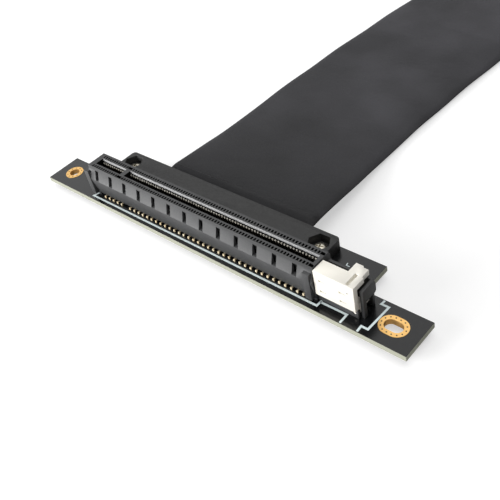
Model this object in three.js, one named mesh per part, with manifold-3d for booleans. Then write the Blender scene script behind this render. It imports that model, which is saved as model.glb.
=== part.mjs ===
// Graphics card riser cable: a card slot on its own small board, a wide flat shielded cable,
// and a card edge plug at the far end.
// Millimetres, +Z up. The origin is on the floor, under the middle of the slot's board.
// +X runs along the slot towards the latch, +Y is the way the cable leaves.

import * as THREE from 'three';
import { mergeVertices } from 'three/addons/utils/BufferGeometryUtils.js';
import Module from 'manifold-3d';

const wasm = await Module();
wasm.setup();

// Driving dimensions
// Places along X are measured from the left end of the slot's opening, and places along Y from
// the slot's middle line, until the last section sets the whole part on its origin.

// How far blocks that are joined reach into each other, and how far a cut runs past what it cuts
const bite = 0.2;
const cutPast = 1;

// The slot's board
const boardThickness = 1.6;
const boardLeft = -25.34;
const boardPastOpening = 28.5;
const boardFront = -6.26;
const stripBack = 5.8;
const tabInset = 0.25;
const tabPastOpening = 8.97;
const tabPastCover = 0.11;
const roundHoleFromEnd = 6.24;
const roundHoleRadius = 1.65;
const longHolePastOpening = 21.25;
const longHoleRadius = 1.65;
const longHoleStraight = 1.8;
const holeMiddleY = -0.1;
const platingFlange = 1.35;
const platingWall = 0.2;
const platingStep = 0.08;
const ringSegments = 6;

// What the slot's board stands on
const floorGap = 1.8;

// The slot's housing
const pinPitch = 1;
const shortRowPins = 11;
const longRowPins = 71;
const rowGapPitches = 2;
const openingLength = (shortRowPins + rowGapPitches + longRowPins + 1) * pinPitch;
const boardRight = openingLength + boardPastOpening;
const tabRight = openingLength + tabPastOpening;
const roundHoleX = boardLeft + roundHoleFromEnd;
const longHoleX = openingLength + longHolePastOpening;
const openingHalfWidth = 0.95;
const slotWallEnd = 2;
const slotRightEnd = 1;
const housingTop = 11.25;
const housingBottom = 0.9;
const housingFrontTop = -3.1;
const housingBackTop = 3.5;
const beltOut = 1.2;
const beltHeight = 6.8;
const shoulderDrop = 0.65;
const shoulderHeight = housingTop - shoulderDrop;
const footOut = 0.05;
const slotFloor = 3;
const keyAfterPin = 0.65;
const keyStart = shortRowPins * pinPitch + keyAfterPin;
const keyWidth = 1.7;
const channelWall = 0.1;
const leadInHalfWidth = 1.4;
const leadInDepth = 0.7;
const channelHalfWidth = 1.62;
const channelRoof = 0.95;
const channelTop = housingTop - channelRoof;
const pocketNear = 1.85;
const pocketFar = 2.85;
const pocketWidth = 0.62;
const pocketDepth = 1.4;
const endPocketLength = 1.4;
const keyPocketPast = 0.4;
const wallNotchCount = 13;
const wallNotchFirst = 1.2;
const wallNotchPitch = 6.55;
const wallNotchWidth = 1.5;
const wallNotchDrop = 1.05;
const wallNotchTop = housingTop - wallNotchDrop;
const wallNotchLevel = 6.9;
const wallNotchInner = 2.45;
const endRibWidth = 2;
const endRibOut = 4.45;
const endRibDrop = 1.65;
const endRibTop = housingTop - endRibDrop;
const rightRibInset = 1.5;
const leftRibOut = 1.3;
const rightRibX = openingLength - rightRibInset;
const leftRibX = -slotWallEnd - leftRibOut;
const pegRadius = 1.15;
const pegLength = 1.5;
const pegHoleClearance = 0.15;
const footHeight = 0.9;
const footLength = 1.2;

// The contacts
const contactThickness = 0.22;
const contactWidth = 0.5;
const springFoot = 1.3;
const springTip = 0.85;
const springTipDrop = 1.55;
const contactTopDrop = 1.1;
const springTipHeight = housingTop - springTipDrop;
const contactTop = housingTop - contactTopDrop;
const outerTail = 3.53;
const footLevel = 0.35;
const tailHoleClearance = 0.12;

// The latch and the cage that holds it
const latchGap = 0.3;
const latchEndGap = 0.35;
const latchLength = 11.8;
const latchFront = -3.5;
const latchPlate = 1.5;
const latchBack = 0.8;
const latchTopDrop = 0.25;
const latchTop = housingTop - latchTopDrop;
const latchHeadThickness = 1.6;
const latchHeadUnder = latchTop - latchHeadThickness;
const latchCoreLength = 9;
const latchGrooveX = 9.3;
const latchGrooveWidth = 0.9;
const latchGrooveDepth = 1.1;
const latchGrooveSkin = 0.5;
const latchTabX = 7.4;
const latchTabLength = 3.9;
const latchTabBack = 4.08;
const latchTabStepX = 9.5;
const latchTabStep = 0.45;
const latchTabSlope = 0.4;
const cageBackWall = 0.75;
const cageFloorTop = 1.9;
const cageFloorLength = 6.5;
const cageUnderHead = 0.4;
const cageWallTop = latchHeadUnder - cageUnderHead;
const sillTop = 2.5;
const sillFront = -2.6;
const sillDepth = 0.8;
const latchOverSill = 0.45;
const latchBottom = sillTop + latchOverSill;
const endPostThickness = 0.85;
const endPostBehindPlate = 0.25;
const endPostFront = latchFront + latchPlate + endPostBehindPlate;
const endPostLeg = 1.2;
const endPostUnder = 4.9;
const endPostCorner = 0.5;
const cageLength = latchGap + latchLength + latchEndGap + endPostThickness;
const pivotFromEnd = 1.1;
const pivotX = openingLength + slotRightEnd + latchGap + latchLength - pivotFromEnd;
const pivotHeight = 1.45;
const pivotRadius = 0.5;
const pivotClearance = 0.08;
const pinShort = 0.2;
const lugRadius = 0.95;
const lugReach = 2;
const lugRise = 0.6;
const lugFront = sillFront + sillDepth + latchGap;

// The covers over the cable's ends
const cableWidth = 57;
const coverSideRoom = 13.5;
const coverLength = cableWidth + 2 * coverSideRoom;
const cableExitX = 41;
const cableFromMiddle = 3.05;
const coverLeft = cableExitX - cableFromMiddle - coverLength / 2;
const coverFront = 4.75;
const coverBack = 15.55;
const coverHeight = 3.5;
const coverRoof = 0.7;
const coverCorner = 1.2;
const coverFrontWall = 1.65;
const bottomCoverInset = 0.25;
const screwFromEnd = 4.1;
const screwBackFromEdge = 4.2;
const recessRadius = 3.35;
const recessFloor = 0.7;
const tabLeft = coverLeft + tabInset;
const tabBack = coverBack + tabPastCover;

// The screws and the threaded inserts
const headRadius = 2;
const headHeight = 1.3;
const shankRadius = 0.85;
const shankHoleRadius = 1.15;
const crossWidth = 0.55;
const crossLength = 2.1;
const crossDepth = 0.7;
const screwTipGap = 0.2;
const screwSides = 14;
const insertOuterRadius = 1.5;
const insertInnerRadius = 1.05;
const insertLength = 1.5;

// The cable
const cableThickness = 1.2;
const cableGap = 0.3;
const cableExitHeight = 1.9;
const cableSideClearance = 0.5;
const cableSteps = 48;
const wireEndDepth = 3.2;
const wireTabCount = 16;
const wireTabWidth = 1.4;
const wireTabLength = 3.4;
const wireTabThickness = 0.3;

// The plug
const plugX = 52.2;
const plugY = 375.6;
const plugCoverDepth = 11;
const plugBoardOut = 2.3;
const plugBoardDepth = 26;
const plugBoardInset = 0.6;
const plugShoulderDepth = 15;
const edgeClearance = 0.2;
const edgeLength = openingLength - 2 * edgeClearance;
const edgeChamfer = 1.3;
const edgeChamferStep = 0.45;
const keyClearance = 0.1;
const edgeNotchX = keyStart - keyClearance - edgeClearance;
const edgeNotchWidth = keyWidth + 2 * keyClearance;
const edgeNotchDepth = 7.5;
const plugCableHeight = 1.5;

// Shape helpers

const solidOf = (geometry) => {
  const bare = geometry.clone();
  bare.deleteAttribute('normal');
  bare.deleteAttribute('uv');
  const merged = mergeVertices(bare, 1e-5);
  return new wasm.Manifold(new wasm.Mesh({
    numProp: 3,
    vertProperties: new Float32Array(merged.attributes.position.array),
    triVerts: new Uint32Array(merged.index.array),
  }));
};

const geometryOf = (solid) => {
  const mesh = solid.getMesh();
  const geometry = new THREE.BufferGeometry();
  geometry.setAttribute('position', new THREE.BufferAttribute(new Float32Array(mesh.vertProperties), 3));
  geometry.setIndex(new THREE.BufferAttribute(new Uint32Array(mesh.triVerts), 1));
  return geometry;
};

const join = (solids) => solids.reduce((whole, next) => whole.add(next));
const cut = (body, tools) => tools.reduce((rest, tool) => rest.subtract(tool), body);

// A block between two corners
const block = (x0, x1, y0, y1, z0, z1) => {
  const geometry = new THREE.BoxGeometry(x1 - x0, y1 - y0, z1 - z0);
  geometry.translate((x0 + x1) / 2, (y0 + y1) / 2, (z0 + z1) / 2);
  return solidOf(geometry);
};

// An outline in the XY plane, raised from z0 to z1
const plate = (shape, z0, z1, curveSegments = 2) => {
  const geometry = new THREE.ExtrudeGeometry(shape, { depth: z1 - z0, bevelEnabled: false, curveSegments });
  geometry.translate(0, 0, z0);
  return solidOf(geometry);
};

// An outline of [y, z] points, run along X from x0 to x1
const bar = (points, x0, x1) => {
  const shape = new THREE.Shape(points.map(([y, z]) => new THREE.Vector2(y, z)));
  const geometry = new THREE.ExtrudeGeometry(shape, { depth: x1 - x0, bevelEnabled: false });
  geometry.applyMatrix4(new THREE.Matrix4().makeBasis(
    new THREE.Vector3(0, 1, 0),
    new THREE.Vector3(0, 0, 1),
    new THREE.Vector3(1, 0, 0),
  ));
  geometry.translate(x0, 0, 0);
  return solidOf(geometry);
};

// An upright round post or hole
const post = (x, y, radius, z0, z1, sides = 16) => {
  const geometry = new THREE.CylinderGeometry(radius, radius, z1 - z0, sides);
  geometry.rotateX(Math.PI / 2);
  geometry.translate(x, y, (z0 + z1) / 2);
  return solidOf(geometry);
};

// A round pin or hole that lies along Y
const crossPin = (x, z, radius, y0, y1, sides = 20) => {
  const geometry = new THREE.CylinderGeometry(radius, radius, y1 - y0, sides);
  geometry.translate(x, (y0 + y1) / 2, z);
  return solidOf(geometry);
};

const roundedRectangle = (x0, x1, y0, y1, radius) => {
  const shape = new THREE.Shape();
  shape.moveTo(x0 + radius, y0);
  shape.lineTo(x1 - radius, y0);
  shape.absarc(x1 - radius, y0 + radius, radius, -Math.PI / 2, 0);
  shape.lineTo(x1, y1 - radius);
  shape.absarc(x1 - radius, y1 - radius, radius, 0, Math.PI / 2);
  shape.lineTo(x0 + radius, y1);
  shape.absarc(x0 + radius, y1 - radius, radius, Math.PI / 2, Math.PI);
  shape.lineTo(x0, y0 + radius);
  shape.absarc(x0 + radius, y0 + radius, radius, Math.PI, Math.PI * 1.5);
  return shape;
};

// A slot with round ends along X; with no straight part it is a circle
const obround = (x, y, radius, straight) => {
  const shape = new THREE.Shape();
  shape.absarc(x + straight / 2, y, radius, -Math.PI / 2, Math.PI / 2);
  shape.absarc(x - straight / 2, y, radius, Math.PI / 2, Math.PI * 1.5);
  return shape;
};

const group = new THREE.Group();
const slotEnd = new THREE.Group();
const plugEnd = new THREE.Group();

const piece = (parent, name, solid, colour, roughness, metalness = 0) => {
  const material = new THREE.MeshStandardMaterial({ color: colour, roughness, metalness });
  const mesh = new THREE.Mesh(geometryOf(solid), material);
  mesh.name = name;
  parent.add(mesh);
  return mesh;
};

// Colours
const boardBlack = 0x1d1e1f;
const plasticBlack = 0x2b2c2e;
const latchWhite = 0xf2ecdd;
const goldPlate = 0xe7b864;
const nickel = 0xcfc8b6;
const brass = 0xc9a04e;
const cableBlack = 0x2e2d31;
const tinned = 0xb9b6b0;

// Where each contact stands along the slot
const pinPlaces = [];
for (let pin = 1; pin <= shortRowPins + longRowPins; pin += 1) {
  const skipped = pin > shortRowPins ? rowGapPitches : 0;
  pinPlaces.push((pin + skipped) * pinPitch);
}
const isOuterTail = (index) => {
  const skipped = index >= shortRowPins ? rowGapPitches : 0;
  return (index + 1 + skipped) % 2 === 0;
};
const housingLeft = -slotWallEnd;
const housingRight = openingLength + slotRightEnd;
const cageRight = housingRight + cageLength;
const firstPin = pinPlaces[0];
const lastPin = pinPlaces[pinPlaces.length - 1];

// Holes that take the contacts' outer tails, one each, and a slit under the housing for each
// inner row, which nobody can see once the housing is on
const boardTailHoles = () => {
  const half = contactWidth / 2 + tailHoleClearance;
  const tools = [];
  for (const side of [-1, 1]) {
    const outer = [outerTail - contactThickness / 2, outerTail + contactThickness / 2];
    const inner = [springFoot, springFoot + contactThickness];
    const across = ([near, far]) => (side > 0
      ? [near - tailHoleClearance, far + tailHoleClearance]
      : [-far - tailHoleClearance, -near + tailHoleClearance]);
    const [outer0, outer1] = across(outer);
    const [inner0, inner1] = across(inner);
    pinPlaces.forEach((x, index) => {
      if (isOuterTail(index)) {
        tools.push(block(x - half, x + half, outer0, outer1, -boardThickness - cutPast, cutPast));
      }
    });
    tools.push(block(
      firstPin - half,
      lastPin + half,
      inner0,
      inner1,
      -boardThickness - cutPast,
      cutPast,
    ));
  }
  return tools;
};

const pegPlaces = [keyStart + keyWidth / 2, housingRight + cageFloorLength / 2];

const makeSlotBoard = () => {
  const outline = new THREE.Shape([
    new THREE.Vector2(boardLeft, boardFront),
    new THREE.Vector2(boardRight, boardFront),
    new THREE.Vector2(boardRight, stripBack),
    new THREE.Vector2(tabRight, stripBack),
    new THREE.Vector2(tabRight, tabBack),
    new THREE.Vector2(tabLeft, tabBack),
    new THREE.Vector2(tabLeft, stripBack),
    new THREE.Vector2(boardLeft, stripBack),
  ]);
  const wall = platingWall;
  outline.holes.push(obround(roundHoleX, holeMiddleY, roundHoleRadius + wall, 0));
  outline.holes.push(obround(longHoleX, holeMiddleY, longHoleRadius + wall, longHoleStraight));
  const board = plate(outline, -boardThickness, 0, ringSegments);
  const tools = boardTailHoles();
  for (const x of pegPlaces) {
    tools.push(post(x, 0, pegRadius + pegHoleClearance, -boardThickness - cutPast, cutPast));
  }
  for (const x of screwPlaces) {
    tools.push(post(x, screwLine, shankHoleRadius, -boardThickness - cutPast, cutPast));
  }
  return cut(board, tools);
};

// A plated hole: a thin sleeve with a flat ring on the top and on the underside of the board
const makePlating = (x, radius, straight) => {
  const ring = obround(x, holeMiddleY, radius + platingFlange, straight);
  ring.holes.push(obround(x, holeMiddleY, radius, straight));
  const sleeve = obround(x, holeMiddleY, radius + platingWall, straight);
  sleeve.holes.push(obround(x, holeMiddleY, radius, straight));
  return join([
    plate(ring, 0, platingStep, ringSegments),
    plate(sleeve, -boardThickness, 0, ringSegments),
    plate(ring, -boardThickness - platingStep, -boardThickness, ringSegments),
  ]);
};

// The slot's housing, with the cage for the latch at its right end
const makeSlotHousing = () => {
  const front = housingFrontTop;
  const back = housingBackTop;
  const body = bar([
    [front - footOut, housingBottom],
    [back + footOut, housingBottom],
    [back + beltOut, beltHeight],
    [back, shoulderHeight],
    [back, housingTop],
    [front, housingTop],
    [front, shoulderHeight],
    [front - beltOut, beltHeight],
  ], housingLeft, housingRight);

  const additions = [];
  // Ribs that stand proud at both ends of both long walls
  for (const x of [leftRibX, rightRibX]) {
    additions.push(block(x, x + endRibWidth, -endRibOut, endRibOut, housingBottom, endRibTop));
  }
  // Feet that hold the housing off the board
  for (const x of [housingLeft, housingRight - footLength]) {
    additions.push(block(x, x + footLength, front, back, housingBottom - footHeight, housingBottom + bite));
  }
  // The cage: a back wall, a front sill, a floor and a bar across the end on a leg
  const backInner = back - cageBackWall;
  const cageLeft = housingRight - bite;
  const postLeft = cageRight - endPostThickness;
  const sillBack = sillFront + sillDepth;
  const sillRight = cageRight - endPostThickness - latchEndGap;
  const legBack = endPostFront + endPostLeg;
  const corner = endPostCorner;
  additions.push(block(cageLeft, postLeft + bite, backInner, back, 0, cageWallTop));
  additions.push(block(cageLeft, sillRight, sillFront, sillBack, 0, sillTop));
  additions.push(block(cageLeft, housingRight + cageFloorLength, sillFront, back, 0, cageFloorTop));
  additions.push(bar([
    [endPostFront, endPostUnder],
    [back - corner, endPostUnder],
    [back, endPostUnder + corner],
    [back, cageWallTop - 3 * corner],
    [back - corner, cageWallTop],
    [endPostFront, cageWallTop],
  ], postLeft, cageRight));
  additions.push(block(postLeft, cageRight, endPostFront, legBack, 0, endPostUnder + bite));
  // Pegs that place the housing on its board
  for (const x of pegPlaces) {
    additions.push(post(x, 0, pegRadius, -pegLength, housingBottom + bite));
  }

  const tools = [];
  const openings = [[0, keyStart], [keyStart + keyWidth, openingLength]];
  for (const [x0, x1] of openings) {
    tools.push(block(x0, x1, -openingHalfWidth, openingHalfWidth, slotFloor, housingTop + cutPast));
    const low = housingTop - leadInDepth;
    tools.push(bar([
      [-openingHalfWidth, low],
      [openingHalfWidth, low],
      [leadInHalfWidth, housingTop],
      [leadInHalfWidth, housingTop + cutPast],
      [-leadInHalfWidth, housingTop + cutPast],
      [-leadInHalfWidth, housingTop],
    ], x0, x1));
  }
  // A channel down each side of the opening, where the contacts' springs stand
  const channels = [
    [firstPin - pinPitch / 2, keyStart - channelWall],
    [keyStart + keyWidth + channelWall, lastPin + pinPitch / 2],
  ];
  for (const [x0, x1] of channels) {
    for (const side of [-1, 1]) {
      const near = openingHalfWidth - bite;
      const [y0, y1] = side > 0 ? [near, channelHalfWidth] : [-channelHalfWidth, -near];
      tools.push(block(x0, x1, y0, y1, housingBottom - cutPast, channelTop));
    }
  }
  // The rows of pockets in the top
  const pocketFloor = housingTop - pocketDepth;
  const pockets = (x0, x1) => {
    for (const side of [-1, 1]) {
      const [y0, y1] = side > 0 ? [pocketNear, pocketFar] : [-pocketFar, -pocketNear];
      tools.push(block(x0, x1, y0, y1, pocketFloor, housingTop + cutPast));
    }
  };
  const spareX = firstPin - pinPitch;
  for (const x of [spareX, ...pinPlaces]) {
    pockets(x - pocketWidth / 2, x + pocketWidth / 2);
  }
  const endPocketX = lastPin + pinPitch / 2;
  pockets(endPocketX, endPocketX + endPocketLength);
  const keyPocketEnd = (shortRowPins + rowGapPitches) * pinPitch + keyPocketPast;
  pockets((shortRowPins + 0.5) * pinPitch, keyPocketEnd);
  // Notches down the front wall
  for (let i = 0; i < wallNotchCount; i += 1) {
    const x = wallNotchFirst + i * wallNotchPitch;
    for (const side of [-1, 1]) {
      const wallTop = side < 0 ? housingFrontTop : housingBackTop;
      tools.push(bar([
        [wallTop, wallNotchTop],
        [wallTop + side * (beltOut + cutPast), wallNotchTop],
        [wallTop + side * (beltOut + cutPast), wallNotchLevel],
        [side * wallNotchInner, wallNotchLevel],
      ], x, x + wallNotchWidth));
    }
  }
  // The latch's pin turns in the sill and in the back wall
  const pinHole = pivotRadius + pivotClearance;
  tools.push(crossPin(pivotX, pivotHeight, pinHole, sillFront - cutPast, back + cutPast));
  return cut(join([body, ...additions]), tools);
};

// One row of contacts, joined along their feet as they are on their carrier strip
const makeContactRow = (side) => {
  const half = contactWidth / 2;
  const inner = springFoot;
  const outer = springFoot + contactThickness;
  const low = -boardThickness - floorGap;
  const tipBack = springTip + contactThickness;
  const footTop = footLevel + contactThickness;
  const spring = [
    [inner, footTop],
    [springTip, springTipHeight],
    [tipBack, contactTop],
    [outer, footTop],
  ];
  const straightTail = [[inner, low], ...spring, [outer, low]];
  const tail0 = outerTail - contactThickness / 2;
  const tail1 = outerTail + contactThickness / 2;
  const bentTail = [
    [inner, footLevel],
    ...spring,
    [tail1, footTop],
    [tail1, low],
    [tail0, low],
    [tail0, footLevel],
  ];
  const turned = (points) => points.map(([y, z]) => [side * y, z]);
  const contacts = pinPlaces.map((x, index) => {
    const outline = turned(isOuterTail(index) ? bentTail : straightTail);
    return bar(outline, x - half, x + half);
  });
  const [y0, y1] = side > 0 ? [inner, outer] : [-outer, -inner];
  const strip = block(firstPin - half, lastPin + half, y0, y1, footLevel, footTop);
  return join([strip, ...contacts]);
};

// The white latch that holds the card: a front plate, a core, a head with a groove and a tab
const makeLatch = () => {
  const left = housingRight + latchGap;
  const right = left + latchLength;
  const plateBack = latchFront + latchPlate;
  const coreRight = left + latchCoreLength;
  const tabStart = latchBack - bite;
  const tabEnd = latchTabBack - latchTabStep;
  const stepX = left + latchTabStepX;
  const tab = new THREE.Shape([
    new THREE.Vector2(left + latchTabX, tabStart),
    new THREE.Vector2(left + latchTabX + latchTabLength, tabStart),
    new THREE.Vector2(left + latchTabX + latchTabLength, tabEnd),
    new THREE.Vector2(stepX + latchTabSlope, tabEnd),
    new THREE.Vector2(stepX, latchTabBack),
    new THREE.Vector2(left + latchTabX, latchTabBack),
  ]);
  const parts = [
    block(left, right, latchFront, plateBack, latchBottom, latchTop),
    block(left, coreRight, plateBack - bite, latchBack, latchBottom, latchTop),
    block(left, right, latchFront, latchBack, latchHeadUnder, latchTop),
    plate(tab, latchHeadUnder, latchTop),
  ];
  // The lug under the core carries the pivot pin
  const lugLeft = pivotX - lugRadius - lugReach;
  const lugRight = pivotX + lugRadius / 2;
  parts.push(block(lugLeft, lugRight, lugFront, latchBack, pivotHeight, latchBottom + lugRise));
  parts.push(crossPin(pivotX, pivotHeight, lugRadius, lugFront, latchBack));
  parts.push(crossPin(pivotX, pivotHeight, pivotRadius, sillFront + pinShort, housingBackTop - pinShort));
  const grooveLeft = left + latchGrooveX;
  const groove = block(
    grooveLeft,
    grooveLeft + latchGrooveWidth,
    latchFront + latchGrooveSkin,
    latchBack + bite,
    latchTop - latchGrooveDepth,
    latchTop + cutPast,
  );
  return cut(join(parts), [groove]);
};

// Covers, screws and inserts are alike at both ends of the cable
const recessShape = (x, y) => {
  const shape = new THREE.Shape();
  const sides = 6;
  for (let i = 0; i < sides; i += 1) {
    const angle = (i / sides) * Math.PI * 2;
    const point = [x + recessRadius * Math.cos(angle), y + recessRadius * Math.sin(angle)];
    if (i === 0) shape.moveTo(...point);
    else shape.lineTo(...point);
  }
  return shape;
};

const makeTopCover = (x0, x1, y0, y1, cavity, screws, screwY) => {
  const body = plate(roundedRectangle(x0, x1, y0, y1, coverCorner), 0, coverHeight);
  const tools = [block(...cavity, -cutPast, coverHeight - coverRoof)];
  for (const x of screws) {
    tools.push(plate(recessShape(x, screwY), recessFloor, coverHeight + cutPast));
    tools.push(post(x, screwY, shankHoleRadius, -cutPast, recessFloor + cutPast));
  }
  return cut(body, tools);
};

const makeBottomCover = (x0, x1, y0, y1, screws, screwY) => {
  const top = -boardThickness;
  const body = plate(roundedRectangle(x0, x1, y0, y1, coverCorner), top - floorGap, top);
  const tools = screws.map((x) => post(x, screwY, insertOuterRadius, top - insertLength, top + cutPast));
  return cut(body, tools);
};

// A pan head screw with a cross recess, standing point down
const makeScrew = (x, y) => {
  const tip = -boardThickness - insertLength + screwTipGap;
  const profile = [
    new THREE.Vector2(0, tip),
    new THREE.Vector2(shankRadius, tip),
    new THREE.Vector2(shankRadius, recessFloor),
    new THREE.Vector2(headRadius, recessFloor),
    new THREE.Vector2(headRadius, recessFloor + headHeight * 0.5),
    new THREE.Vector2(headRadius * 0.72, recessFloor + headHeight * 0.92),
    new THREE.Vector2(0, recessFloor + headHeight),
  ];
  const turned = new THREE.LatheGeometry(profile, screwSides);
  turned.rotateX(Math.PI / 2);
  turned.translate(x, y, 0);
  const top = recessFloor + headHeight;
  const long = crossLength / 2;
  const short = crossWidth / 2;
  return cut(solidOf(turned), [
    block(x - long, x + long, y - short, y + short, top - crossDepth, top + cutPast),
    block(x - short, x + short, y - long, y + long, top - crossDepth, top + cutPast),
  ]);
};

const makeInsert = (x, y) => {
  const top = -boardThickness;
  const body = post(x, y, insertOuterRadius, top - insertLength, top);
  return cut(body, [post(x, y, insertInnerRadius, top - insertLength - cutPast, top + cutPast)]);
};

// The cable's bared end inside a cover: its flat jacket and a row of flattened conductors
const makeWireEnds = (x, jacketY, inward, height) => {
  const half = cableWidth / 2 - cableSideClearance;
  const jacketEnd = jacketY + inward * wireEndDepth;
  const tipY = jacketEnd + inward * wireTabLength;
  const low = height - cableThickness / 2;
  const ordered = (a, b) => [Math.min(a, b), Math.max(a, b)];
  const jacket = block(x - half, x + half, ...ordered(jacketY, jacketEnd), 0, low + cableThickness);
  const pitch = (2 * half) / wireTabCount;
  const tabs = [];
  for (let i = 0; i < wireTabCount; i += 1) {
    const middle = x - half + (i + 0.5) * pitch;
    tabs.push(block(
      middle - wireTabWidth / 2,
      middle + wireTabWidth / 2,
      ...ordered(jacketEnd - inward * bite, tipY),
      0,
      wireTabThickness,
    ));
  }
  return join([jacket, ...tabs]);
};

// The slot end
const screwLine = coverBack - screwBackFromEdge;
const coverRight = coverLeft + coverLength;
const screwPlaces = [coverLeft + screwFromEnd, coverRight - screwFromEnd];
const cavityHalf = cableWidth / 2 + cableSideClearance;

piece(slotEnd, 'slot_board', makeSlotBoard(), boardBlack, 0.25);
piece(slotEnd, 'round_hole_plating', makePlating(roundHoleX, roundHoleRadius, 0), goldPlate, 0.3, 0.9);
const longPlating = makePlating(longHoleX, longHoleRadius, longHoleStraight);
piece(slotEnd, 'long_hole_plating', longPlating, goldPlate, 0.3, 0.9);
piece(slotEnd, 'slot_housing', makeSlotHousing(), plasticBlack, 0.55);
piece(slotEnd, 'front_contact_row', makeContactRow(-1), goldPlate, 0.3, 0.9);
piece(slotEnd, 'back_contact_row', makeContactRow(1), goldPlate, 0.3, 0.9);
piece(slotEnd, 'card_latch', makeLatch(), latchWhite, 0.45);
piece(slotEnd, 'slot_top_cover', makeTopCover(
  coverLeft,
  coverRight,
  coverFront,
  coverBack,
  [cableExitX - cavityHalf, cableExitX + cavityHalf, coverFront + coverFrontWall, coverBack + cutPast],
  screwPlaces,
  screwLine,
), plasticBlack, 0.6);
piece(slotEnd, 'slot_bottom_cover', makeBottomCover(
  coverLeft,
  coverRight,
  coverFront + bottomCoverInset,
  coverBack,
  screwPlaces,
  screwLine,
), plasticBlack, 0.6);
['left', 'right'].forEach((side, index) => {
  piece(slotEnd, `slot_screw_${side}`, makeScrew(screwPlaces[index], screwLine), nickel, 0.3, 1);
  piece(slotEnd, `slot_insert_${side}`, makeInsert(screwPlaces[index], screwLine), brass, 0.35, 1);
});
const slotWires = makeWireEnds(cableExitX, coverBack - cableGap, -1, cableExitHeight);
piece(slotEnd, 'slot_wire_ends', slotWires, tinned, 0.4, 0.6);

// The plug, with X measured from its middle and Y from the back of its covers
const edgeTip = plugBoardInset + plugBoardDepth;
const makePlugBoard = () => {
  const half = coverLength / 2 + plugBoardOut;
  const edge = edgeLength / 2;
  const y0 = plugBoardInset;
  const shoulder = plugShoulderDepth;
  const notch = -edge + edgeNotchX;
  const outline = new THREE.Shape([
    new THREE.Vector2(-half, y0),
    new THREE.Vector2(half, y0),
    new THREE.Vector2(half, shoulder),
    new THREE.Vector2(edge, shoulder),
    new THREE.Vector2(edge, edgeTip),
    new THREE.Vector2(notch + edgeNotchWidth, edgeTip),
    new THREE.Vector2(notch + edgeNotchWidth, edgeTip - edgeNotchDepth),
    new THREE.Vector2(notch, edgeTip - edgeNotchDepth),
    new THREE.Vector2(notch, edgeTip),
    new THREE.Vector2(-edge, edgeTip),
    new THREE.Vector2(-edge, shoulder),
    new THREE.Vector2(-half, shoulder),
  ]);
  const board = plate(outline, -boardThickness, 0);
  const tools = plugScrewPlaces.map((x) => (
    post(x, plugScrewLine, shankHoleRadius, -boardThickness - cutPast, cutPast)
  ));
  // The long edge is bevelled on both faces, so that it enters a slot
  const start = edgeTip - edgeChamfer;
  const past = edgeChamfer * 0.5;
  const drop = edgeChamferStep * (1 + past / edgeChamfer);
  for (const [face, way] of [[0, 1], [-boardThickness, -1]]) {
    tools.push(bar([
      [start, face],
      [edgeTip + past, face - way * drop],
      [edgeTip + past, face + way * cutPast],
      [start, face + way * cutPast],
    ], -edge - cutPast, edge + cutPast));
  }
  return cut(board, tools);
};

const plugScrewLine = screwBackFromEdge;
const plugHalf = coverLength / 2;
const plugScrewPlaces = [screwFromEnd - plugHalf, plugHalf - screwFromEnd];
piece(plugEnd, 'plug_board', makePlugBoard(), boardBlack, 0.25);
piece(plugEnd, 'plug_top_cover', makeTopCover(
  -plugHalf,
  plugHalf,
  0,
  plugCoverDepth,
  [-cavityHalf, cavityHalf, -cutPast, plugCoverDepth - coverFrontWall],
  plugScrewPlaces,
  plugScrewLine,
), plasticBlack, 0.6);
piece(plugEnd, 'plug_bottom_cover', makeBottomCover(
  -plugHalf,
  plugHalf,
  0,
  plugCoverDepth,
  plugScrewPlaces,
  plugScrewLine,
), plasticBlack, 0.6);
['left', 'right'].forEach((side, index) => {
  piece(plugEnd, `plug_screw_${side}`, makeScrew(plugScrewPlaces[index], plugScrewLine), nickel, 0.3, 1);
  piece(plugEnd, `plug_insert_${side}`, makeInsert(plugScrewPlaces[index], plugScrewLine), brass, 0.35, 1);
});
const plugWires = makeWireEnds(0, cableGap + plugBoardInset, 1, plugCableHeight);
piece(plugEnd, 'plug_wire_ends', plugWires, tinned, 0.4, 0.6);
plugEnd.position.set(plugX, plugY, 0);

// The cable: out of the cover, over its lip, down to the floor and along it to the plug
const cablePoints = [
  [cableExitX, coverBack + cableGap, cableExitHeight],
  [40.95, 19.3, 2.15],
  [40.5, 25.8, 1.5],
  [39.4, 37.8, -0.2],
  [38.2, 49.8, -1.8],
  [37.6, 61.8, -2.6],
  [37.8, 75.8, -2.45],
  [38.4, 89.8, -2.7],
  [39.2, 104.8, -2.45],
  [40.4, 119.8, -2.7],
  [41.8, 135.8, -2.5],
  [43.5, 151.8, -2.75],
  [45.6, 169.8, -2.7],
  [48.0, 191.8, -2.75],
  [50.0, 215.8, -2.5],
  [51.4, 241.8, -2.75],
  [52.0, 269.8, -2.7],
  [plugX, 299.8, -2.5],
  [plugX, 329.8, -2.75],
  [plugX, 347, -2.3],
  [plugX, 359, -0.6],
  [plugX, 368, 1.1],
  [plugX, plugY - cableGap, plugCableHeight],
];

// A route whose section stays level from side to side
class LevelRoute extends THREE.CatmullRomCurve3 {
  computeFrenetFrames(segments) {
    const tangents = [];
    const normals = [];
    const binormals = [];
    for (let i = 0; i <= segments; i += 1) {
      const ahead = this.getTangentAt(i / segments);
      const across = new THREE.Vector3(ahead.y, -ahead.x, 0).normalize();
      tangents.push(ahead);
      normals.push(across);
      binormals.push(new THREE.Vector3().crossVectors(ahead, across).normalize());
    }
    return { tangents, normals, binormals };
  }
}

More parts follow.
